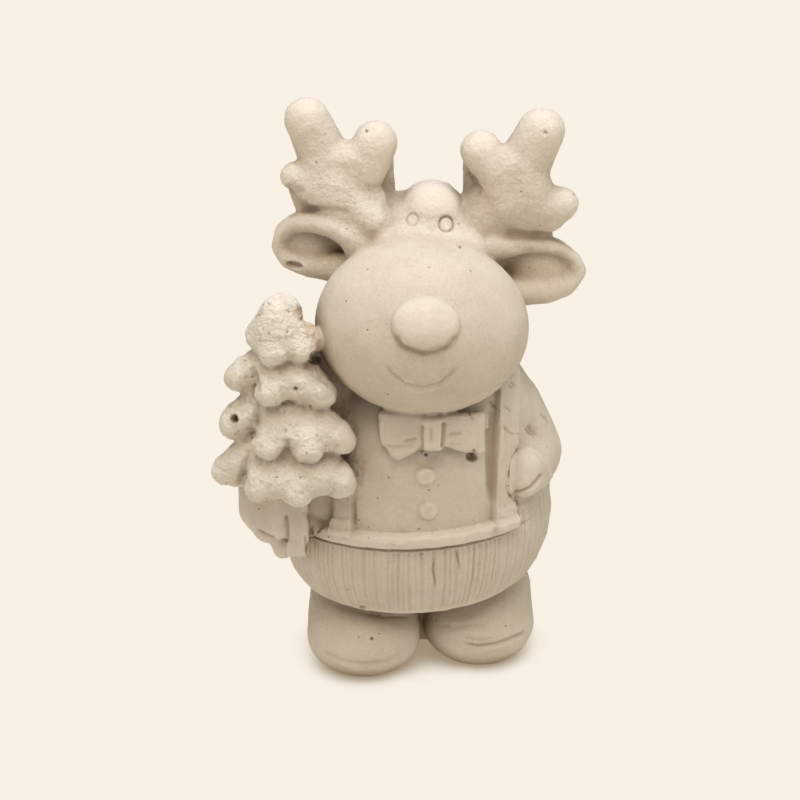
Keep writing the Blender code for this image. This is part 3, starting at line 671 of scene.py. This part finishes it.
RIB_CRACKS = {
    "longer": (((432.4, 554.4), (433.8, 563), (433.0, 571), (435.2, 580), (435, 591.2)), 0.5, -0.45, 0.3),
    "shorter": (((457.8, 547.4), (457.6, 556), (459.6, 565), (460.4, 575.4)), 0.5, -0.45, 0.3),
}

# These aren't relief but shares, from 0 to 1, of a change in the plaster's grain or colour: grain, painted
# shade under parts, stains with some painted shade, and painted light.
GRAINY_STROKES = {
    "left_antler": (((280, 175), (298, 190), (330, 195), (362, 205), (396, 219)), 7.0, 0.3, 0.1),
    "brow": (((396, 219), (430, 235), (480, 235)), 5.0, 0.2, 0.1),
}
# Painted shade under the bow tie, the nose and the belt.
SHADE_UNDER_SPOTS = {
    "shade_under_bow_tie": ((430, 463), (12, 3.0), 0.3, 0, 0.9),
    "under_nose": ((428, 351), (8, 1.8), 0.2, 0, 0.9),
}
SHADE_UNDER_STROKES = {"under_belt": (((330, 534), (380, 550), (440, 549), (505, 526)), 1.6, 0.2)}
# Brown stains on the tree's top and the sleeve; painted shade over the left hand and under the bow tie.
STAIN_AND_SHADE_SPOTS = {
    "tree_top": ((306, 326), (3.2, 4.5), 0.8, -20, 0.9),
    "tree_top_edge": ((316, 342), (1.4, 3.6), 0.8, 0, 0.9),
    "tree_top_crest": ((297, 312), (3.0, 2.0), 0.5, 30, 0.9),
    "sleeve": ((535, 432), (4.6, 3.4), 0.3, 0, 0.9),
    "shade_over_left_hand": ((267, 505), (5, 2.5), 0.45, 0, 0.9),
    "shade_under_bow_tie": ((415, 463), (4, 2), 0.3, 0, 0.9),
}
# Painted light on surfaces that face the light: one ear's rim, one antler, the fist and the sleeve.
PAINTED_LIGHT_SPOTS = {
    "left_ear_rim": ((322, 224), (8.5, 2.8), 0.9, 0, 0.9),
    "left_antler": ((318, 165), (8, 8), 0.6, 0, 0.9),
    "fist": ((527, 470), (5, 5), 0.5, 0, 0.9),
    "sleeve": ((520, 400), (6, 5), 0.4, 0, 0.9),
}


def strokes(skin, marks):
    return sum(stroke(skin, *mark) for mark in marks.values())


def spots(skin, marks):
    return sum(spot(skin, *mark) for mark in marks.values())


def eyes(skin):
    """Two small low discs, each in a ring-shaped groove."""
    raised = np.zeros(len(skin.points))
    for pixel, radius, depth in EYES.values():
        apart = np.hypot(skin.across - pixel[0], skin.down - pixel[1]) * skin.pixel
        disc = EYE_DISC * (1 - step(apart, radius - EYE_DISC_EDGE, radius))
        ring = -depth * np.exp(-((apart - radius) / EYE_RING) ** 2)
        raised += (disc + ring) * skin.shown
    return raised


def face(skin):
    """The smile, with a soft lip under it, and the crease under the nose."""
    return strokes(skin, FACE_STROKES) + spots(skin, FACE_SPOTS)


def bow_creases(skin):
    """The bow tie's folds and knot, and the chip under it."""
    return strokes(skin, BOW_STROKES) + spots(skin, BOW_SPOTS)


def soles(skin):
    """A groove round each toe, higher on the boot away from the tree."""
    return strokes(skin, BOOT_STROKES) + spots(skin, BOOT_SPOTS)


def hand_marks(skin):
    return strokes(skin, HAND_STROKES) + spots(skin, HAND_SPOTS)


def shirt_marks(skin):
    """The valley beside the brace, the clips at the waistband, and scratches."""
    marks = strokes(skin, SHIRT_STROKES) + spots(skin, SHIRT_SPOTS)
    for path in BRACE_SCRATCHES + SLEEVE_SCRATCHES + BOW_SCRATCHES:
        marks += stroke(skin, path, SCRATCH_WIDTH, -SCRATCH_DEPTH)
    return marks


def head_marks(skin):
    """The grooves between ears and antlers, and chips."""
    return strokes(skin, HEAD_STROKES) + spots(skin, HEAD_SPOTS)


def tree_marks(skin):
    """The clefts between the tree's lobes, its holes and its pores."""
    marks = strokes(skin, TREE_STROKES) + spots(skin, TREE_SPOTS)
    for pixel in TREE_PORES:
        marks += spot(skin, pixel, TREE_PORE_RADIUS, -TREE_PORE_DEPTH)
    return marks


def tree_share(skin):
    """1 on the tree, 0 on the rest of the figure."""
    reach = np.interp(skin.z, *zip(*TREE_REACH))
    apart = np.hypot(skin.x - TREE_MIDDLE[0], skin.y - TREE_MIDDLE[1]) / reach
    return (1 - step(apart, 1.0, 1.1)) * step(skin.z, 50, 53) * (1 - on_muzzle(skin))


def on_muzzle(skin):
    apart = (skin.points - MUZZLE_CENTRE) / MUZZLE_RADII
    return 1 - step(np.linalg.norm(apart, axis=1), 1.03, 1.07)


def antler_share(skin):
    """1 on the antlers and the brow between them, 0 on the rest."""
    return step(skin.z + 0.4 * np.abs(skin.x), 110, 114) * (1 - on_muzzle(skin))


def texture(skin):
    """Cast plaster's skin: faintly lumpy, coarse and pitted on the tree, grainy on the antlers."""
    tree, antlers = tree_share(skin), antler_share(skin)
    even = EVEN_LUMPS * rough(skin.points, 7.0, 31) + EVEN_GRAIN * lumps(skin.points, 1.6, 34)
    grain = ANTLER_GRAIN * lumps(skin.points, 1.3, 35) + ANTLER_LUMPS * rough(skin.points, 4.0, 36)
    crust = CRUST_LUMPS * rough(skin.points, 3.2, 39) + CRUST_GRAIN * lumps(skin.points, 1.2, 40)
    pits = -CRUST_PITS * step(lumps(skin.points, 1.3, 42), 0.6, 0.9)
    return even + antlers * grain + tree * (crust + pits)


BROAD_CARVINGS = (belt, braces, buttons, head_marks, tree_marks, texture)
FINE_CARVINGS = (ribs, eyes, face, bow_creases, hand_marks, shirt_marks, soles)


def coarseness(skin):
    """How grainy the plaster is: 1 on the tree, less on the antlers, least on the rubbed muzzle."""
    rest = 0.10 + 0.25 * antler_share(skin) + 0.12 * (1 - on_muzzle(skin))
    return np.clip(np.maximum(tree_share(skin), rest + strokes(skin, GRAINY_STROKES)), 0, 1)


def painted_shade_under(skin):
    """Painted shade under the bow tie, the nose and the belt."""
    return spots(skin, SHADE_UNDER_SPOTS) + strokes(skin, SHADE_UNDER_STROKES)


def carve(mesh):
    """Moves the surface along its normals by the sum of every carving."""
    skin = Skin(mesh)
    cut = sum(carving(skin) for carving in FINE_CARVINGS)
    raised = cut + sum(carving(skin) for carving in BROAD_CARVINGS)
    move_points(mesh, skin.points + skin.normals * raised[:, None])
    # The depth of the fine grooves, painted as shade in them, and the painted shade under parts.
    keep_values(mesh, "cut", np.clip(-cut, 0, 1) + painted_shade_under(skin))
    keep_values(mesh, "grain", coarseness(skin))


def thinned(mesh, triangles):
    """The mesh with no more than this many triangles, fewest where it is smooth."""
    mesh.calc_loop_triangles()
    fine = bpy.data.objects.new("fine", mesh)
    bpy.context.scene.collection.objects.link(fine)
    decimate = fine.modifiers.new("thin", "DECIMATE")
    decimate.use_collapse_triangulate = True
    decimate.ratio = min(1.0, triangles / len(mesh.loop_triangles))
    coarse = evaluated_mesh(fine)
    bpy.data.objects.remove(fine)
    return coarse


def cut_flat(mesh):
    """Cuts the underside off at z = 0 and closes it with one flat face."""
    shape = bmesh.new()
    shape.from_mesh(mesh)
    bmesh.ops.bisect_plane(shape, geom=shape.verts[:] + shape.edges[:] + shape.faces[:], dist=0.02,
                           plane_co=(0, 0, 0), plane_no=(0, 0, 1), clear_inner=True)
    rim = [edge for edge in shape.edges if edge.is_boundary]
    for point in {point for edge in rim for point in edge.verts}:
        point.co.z = 0
    bmesh.ops.holes_fill(shape, edges=rim, sides=0)
    bmesh.ops.recalc_face_normals(shape, faces=shape.faces)
    bmesh.ops.triangulate(shape, faces=[face for face in shape.faces if len(face.verts) > 4])
    shape.to_mesh(mesh)


def hollowness(mesh, passes):
    """How far each point lies below the surface once that is smoothed, in millimetres."""
    points = vectors(mesh.vertices, "co")
    normals = vectors(mesh.vertex_normals, "vector")
    ends = np.empty(len(mesh.edges) * 2, np.int32)
    mesh.edges.foreach_get("vertices", ends)
    first, second = ends.reshape(-1, 2).T
    count = np.bincount(first, minlength=len(points)) + np.bincount(second, minlength=len(points))
    smooth = points.copy()
    for _ in range(passes):
        total = np.zeros_like(points)
        for here, there in ((first, second), (second, first)):
            for axis in range(3):
                total[:, axis] += np.bincount(here, smooth[there, axis], len(points))
        smooth = 0.4 * smooth + 0.6 * total / count[:, None]
    return ((smooth - points) * normals).sum(axis=1)


def keep_values(mesh, name, values):
    attribute = mesh.attributes.new(name, "FLOAT", "POINT")
    attribute.data.foreach_set("value", values.astype(np.float32))


def stains_and_shade(skin):
    """How brown the plaster is: stained on the tree's top and on the sleeve, with painted shade over the
    left hand and under the bow tie.
    """
    return np.clip(spots(skin, STAIN_AND_SHADE_SPOTS), 0, 1)


def painted_light_amount(skin):
    """How much painted light brightens the plaster: evenly on the clothes, most on the belt's upper edge,
    the fist, the sleeve, one ear's rim and one antler.
    """
    clothes = 0.6 * band(skin.z, 19, 77, 4) * (1 - tree_share(skin))
    belt_edge = 0.8 * band(level(skin), BELT_HIGH - 0.2, BELT_HIGH + 1.4, 0.6) * (skin.y < 0)
    return np.clip(clothes + belt_edge + spots(skin, PAINTED_LIGHT_SPOTS), 0, 1)


def placement(mesh):
    """The matrix that sets the millimetre figure in the frame, over the node that it replaces."""
    points = vectors(mesh.vertices, "co")
    low, high = points.min(axis=0), points.max(axis=0)
    node_low, node_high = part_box(NODE)
    span = node_high - node_low
    scale = Matrix.Diagonal((span.x / (high[0] - low[0]), span.y / (high[1] - low[1]), span.z / high[2], 1))
    middle = (low + high) / 2
    to_origin = Matrix.Translation((-middle[0], -middle[1], 0))
    target = (node_low + node_high) / 2
    return Matrix.Translation((target.x, target.y, 0)) @ scale @ to_origin


def node(tree, kind, inputs=None, **settings):
    """A shader node with its settings, and its inputs set to values or linked to sockets."""
    made = tree.nodes.new(kind)
    for name, value in settings.items():
        setattr(made, name, value)
    for name, value in (inputs or {}).items():
        if isinstance(value, bpy.types.NodeSocket):
            tree.links.new(value, made.inputs[name])
        else:
            made.inputs[name].default_value = value
    return made


def scaled(tree, value, low, high, to_low=0.0, to_high=1.0):
    """The value, stretched so that low and high become the other two numbers, and held between them."""
    inputs = {"Value": value, "From Min": low, "From Max": high, "To Min": to_low, "To Max": to_high}
    return node(tree, "ShaderNodeMapRange", inputs, interpolation_type="SMOOTHSTEP").outputs["Result"]


def blended(tree, share, first, second):
    """A mix of two colours, each a value or a socket."""
    made = node(tree, "ShaderNodeMix", {"Factor": share}, data_type="RGBA")
    for slot, value in ((6, first), (7, second)):
        if isinstance(value, bpy.types.NodeSocket):
            tree.links.new(value, made.inputs[slot])
        else:
            made.inputs[slot].default_value = value
    return made.outputs[2]


def noise(tree, place, scale, detail=2.0, roughness=0.5):
    return node(tree, "ShaderNodeTexNoise", {"Vector": place, "Scale": scale, "Detail": detail,
                                             "Roughness": roughness}).outputs["Fac"]


def product(tree, first, second):
    return node(tree, "ShaderNodeMath", {0: first, 1: second}, operation="MULTIPLY").outputs["Value"]


def stored(tree, name):
    return node(tree, "ShaderNodeAttribute", attribute_name=name).outputs["Fac"]


def bump(tree, height, strength, distance, under=None, sunk=False):
    """A bumped normal, on top of another one where that is given."""
    inputs = {"Height": height, "Strength": strength, "Distance": distance}
    if under is not None:
        inputs["Normal"] = under
    return node(tree, "ShaderNodeBump", inputs, invert=sunk).outputs["Normal"]


def pinhole_share(tree, millimetres):
    """1 in the pinholes, which are round and lie at the middles of some of the cells of a pattern."""
    cells = node(tree, "ShaderNodeTexVoronoi", {"Vector": millimetres, "Scale": 0.42, "Randomness": 1.0})
    lot = node(tree, "ShaderNodeSeparateColor", {"Color": cells.outputs["Color"]}).outputs["Red"]
    round_hole = scaled(tree, cells.outputs["Distance"], 0.075, 0.12, 1.0, 0.0)
    return product(tree, scaled(tree, lot, 0.84, 0.86), round_hole)


def plaster_layers(tree, millimetres, lumpy, pinholes):
    """The plaster's tints from the first to the last, as (share, tint)."""
    mottle = noise(tree, millimetres, 0.09, 3.0, 0.6)
    patches = noise(tree, millimetres, 0.55, 3.0, 0.6)
    speckle = noise(tree, millimetres, 1.9, 2.0, 0.6)
    grain, valley, crease = (stored(tree, name) for name in ("grain", "valley", "crease"))
    open_to_light = node(tree, "ShaderNodeAmbientOcclusion", {"Distance": SHADE_REACH}, samples=8)
    return (
        (scaled(tree, mottle, 0.3, 0.7), "pale_mottle"),
        (scaled(tree, patches, 0.45, 0.75, 0.0, 0.28), "patch"),
        (scaled(tree, speckle, 0.5, 0.72, 0.0, 0.3), "dark_speckle"),
        (scaled(tree, speckle, 0.5, 0.28, 0.0, 0.25), "pale_speckle"),
        # Painted light.
        (product(tree, stored(tree, "painted_light_share"), 0.5), "painted_light_tint"),
        (scaled(tree, grain, 0.5, 1.0, 0.0, 0.68), "tree"),
        # Painted shade in the hollows and painted light on the crests of the grain's bumps.
        (product(tree, grain, scaled(tree, lumpy, 0.44, 0.26, 0.0, 0.45)), "grain_hollow_shade"),
        (product(tree, grain, scaled(tree, lumpy, 0.45, 0.65, 0.0, 0.6)), "grain_crest_light"),
        # Painted shade in creases, carved grooves and valleys, and painted light on ridges and sharp edges.
        (scaled(tree, crease, 0.05, 0.55, 0.0, 0.75), "crease"),
        (scaled(tree, stored(tree, "cut"), 0.08, 0.5, 0.0, 0.5), "crease"),
        (scaled(tree, valley, 0.15, 1.5, 0.0, 0.42), "valley"),
        (scaled(tree, valley, -0.3, -1.6, 0.0, 0.25), "ridge_light"),
        (product(tree, grain, scaled(tree, valley, 0.0, 1.0, 0.0, 0.6)), "tree_valley_shade"),
        (product(tree, grain, scaled(tree, valley, 0.0, -1.0, 0.0, 0.8)), "tree_ridge_light"),
        (scaled(tree, crease, -0.03, -0.3, 0.0, 0.5), "sharp_edge_light"),
        # Painted shade where nearby surfaces hide the light.
        (scaled(tree, open_to_light.outputs["AO"], 0.82, 0.2, 0.0, 0.65), "shaded"),
        # Brown stains, with painted shade over the left hand and under the bow tie.
        (product(tree, stored(tree, "stain_and_shade"), scaled(tree, patches, 0.4, 0.65, 0.1, 0.8)), "stain_and_shade"),
        # Painted shade in the pinholes.
        (product(tree, pinholes, 0.75), "pinhole_shade"),
    )


def plaster():
    """Bare cast plaster: cream, mottled and pinholed, with painted shade, darker and warmer, in its hollows
    and pinholes, and painted light on its ridges and edges.
    """
    material = bpy.data.materials.new("plaster")
    material.use_nodes = True
    tree = material.node_tree
    shader = tree.nodes["Principled BSDF"]
    metres = node(tree, "ShaderNodeTexCoord").outputs["Object"]
    enlarged = node(tree, "ShaderNodeVectorMath", {0: metres, 3: 1000.0}, operation="SCALE")
    millimetres = enlarged.outputs["Vector"]
    lumpy = noise(tree, millimetres, 1.0, 3.0, 0.65)
    pinholes = pinhole_share(tree, millimetres)
    colour = PLASTER
    for share, tint in plaster_layers(tree, millimetres, lumpy, pinholes):
        colour = blended(tree, share, colour, TINTS[tint])
    tree.links.new(colour, shader.inputs["Base Color"])
    fine = noise(tree, millimetres, 2.6, 4.0, 0.65)
    skin = bump(tree, fine, 0.35, 0.00022)
    crusty = bump(tree, lumpy, stored(tree, "grain"), 0.0009, skin)
    holes = bump(tree, pinholes, 0.8, 0.0003, crusty, sunk=True)
    tree.links.new(holes, shader.inputs["Normal"])
    tree.links.new(scaled(tree, fine, 0.3, 0.7, 0.78, 0.95), shader.inputs["Roughness"])
    shader.inputs["Specular IOR Level"].default_value = 0.25
    return material


def make_figure():
    mesh = whole_figure()
    carve(mesh)
    mesh = thinned(mesh, TRIANGLES)
    cut_flat(mesh)
    # Hollowness at two scales, for the painted shade in hollows and the painted light on ridges.
    keep_values(mesh, "crease", hollowness(mesh, 4))
    keep_values(mesh, "valley", hollowness(mesh, 60))
    skin = Skin(mesh)
    keep_values(mesh, "stain_and_shade", stains_and_shade(skin))
    keep_values(mesh, "painted_light_share", painted_light_amount(skin))
    place = placement(mesh)
    mesh.transform(place)
    mesh.shade_smooth()
    mesh.materials.append(plaster())
    figure = bpy.data.objects.new("plaster_reindeer", mesh)
    bpy.context.scene.collection.objects.link(figure)
    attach(figure, "root")
    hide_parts(NODE)
    return place


def make_floor():
    """A plain pale floor, evenly bright, with a painted contact shadow only close to what stands on it."""
    bpy.ops.mesh.primitive_plane_add(size=8)
    floor = bpy.context.object
    floor.name = "floor"
    material = bpy.data.materials.new("floor")
    material.use_nodes = True
    tree = material.node_tree
    tree.nodes.remove(tree.nodes["Principled BSDF"])
    openness = node(tree, "ShaderNodeAmbientOcclusion", {"Distance": FLOOR_SHADE_REACH}, samples=16)
    lit = scaled(tree, openness.outputs["AO"], 0.1, 0.75)
    colour = blended(tree, lit, FLOOR_SHADE, FLOOR_COLOUR)
    glow = node(tree, "ShaderNodeEmission", {"Color": colour, "Strength": 1.0}).outputs["Emission"]
    tree.links.new(glow, tree.nodes["Material Output"].inputs["Surface"])
    material.cycles.emission_sampling = "NONE"
    floor.data.materials.append(material)


def aim(item, target):
    item.rotation_euler = (Vector(target) - item.location).to_track_quat("-Z", "Y").to_euler()


def make_camera(place):
    """The photograph's view: from the front, looking down."""
    data = bpy.data.cameras.new("camera")
    data.sensor_width = SENSOR
    data.lens = SENSOR * FOCAL_PIXELS / FRAME_PIXELS
    camera = bpy.data.objects.new("camera", data)
    bpy.context.scene.collection.objects.link(camera)
    target = Vector(CAMERA_TARGET)
    away = Vector((0, -math.cos(VIEW_TILT), math.sin(VIEW_TILT)))
    camera.location = place @ (target + CAMERA_DISTANCE * away)
    aim(camera, place @ target)
    bpy.context.scene.camera = camera


LIGHTS = (  # name, place in metres, watts, colour
    ("overhead", (0.0, 0.0, 0.9), 6.0, (0.72, 0.755, 0.97)),
    ("upper_front", (0.0, -0.45, 0.78), 3.1, (1.0, 0.92, 0.78)),
    ("upper_right", (0.45, -0.1, 0.78), 1.8, (0.97, 1.0, 0.94)),
    ("upper_left", (-0.45, -0.1, 0.78), 1.3, (1.0, 1.0, 0.88)),
    ("right", (0.85, -0.3, 0.3), 1.4, (0.98, 0.94, 1.0)),
    ("left", (-0.85, -0.3, 0.3), 1.3, (1.0, 0.95, 0.97)),
    ("low_front", (0.0, -0.9, 0.12), 1.2, (0.97, 0.92, 1.0)),
)
LIGHT_SIZE = 0.4
LIT_POINT = (0, 0, 0.07)


def make_lights():
    """A soft cool light overhead, with weaker and warmer ones at the front and sides, in a dark studio."""
    for name, location, power, colour in LIGHTS:
        data = bpy.data.lights.new(name, "AREA")
        data.size = LIGHT_SIZE
        data.energy = power
        data.color = colour
        light = bpy.data.objects.new(name, data)
        bpy.context.scene.collection.objects.link(light)
        light.location = location
        aim(light, LIT_POINT)
    world = bpy.data.worlds.new("studio")
    bpy.context.scene.world = world
    world.use_nodes = True
    world.node_tree.nodes["Background"].inputs["Strength"].default_value = 0.0


place = make_figure()
make_floor()
make_lights()
make_camera(place)
bpy.context.scene.view_settings.view_transform = "Standard"
